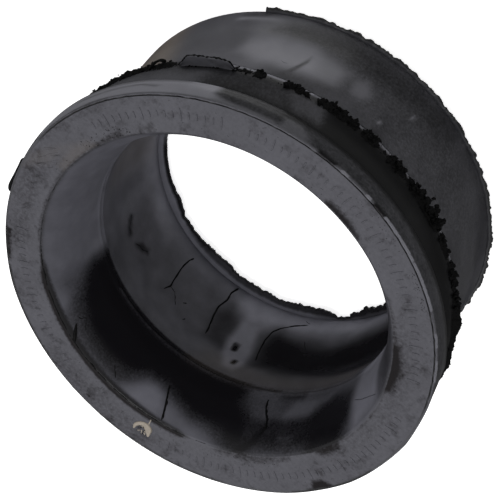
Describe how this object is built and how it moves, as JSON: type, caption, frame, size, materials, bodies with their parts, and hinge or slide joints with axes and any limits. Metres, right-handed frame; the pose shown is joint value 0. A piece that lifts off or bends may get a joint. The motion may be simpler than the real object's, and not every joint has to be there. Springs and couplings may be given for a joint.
{
  "type": "pipe seal gasket",
  "caption": "Moulded black rubber ring gasket that seals a drain pipe in a cast-iron hub, with a flat flange, a flared mouth, a snap ridge and a plain barrel.",
  "frame": {"origin": "centre of the tail's end, on the surface that the ring stands on", "axes": "+Z along the bore's axis, from the tail up to the flange; X and Y are any two square directions across the ring"},
  "size_m": [0.1374, 0.1374, 0.066],
  "materials": {
    "rubber": "moulded black rubber, dull on the flange's face and glossier in the bore"
  },
  "bodies": {
    "root": {"gasket": "rubber"}
  },
  "joints": []
}
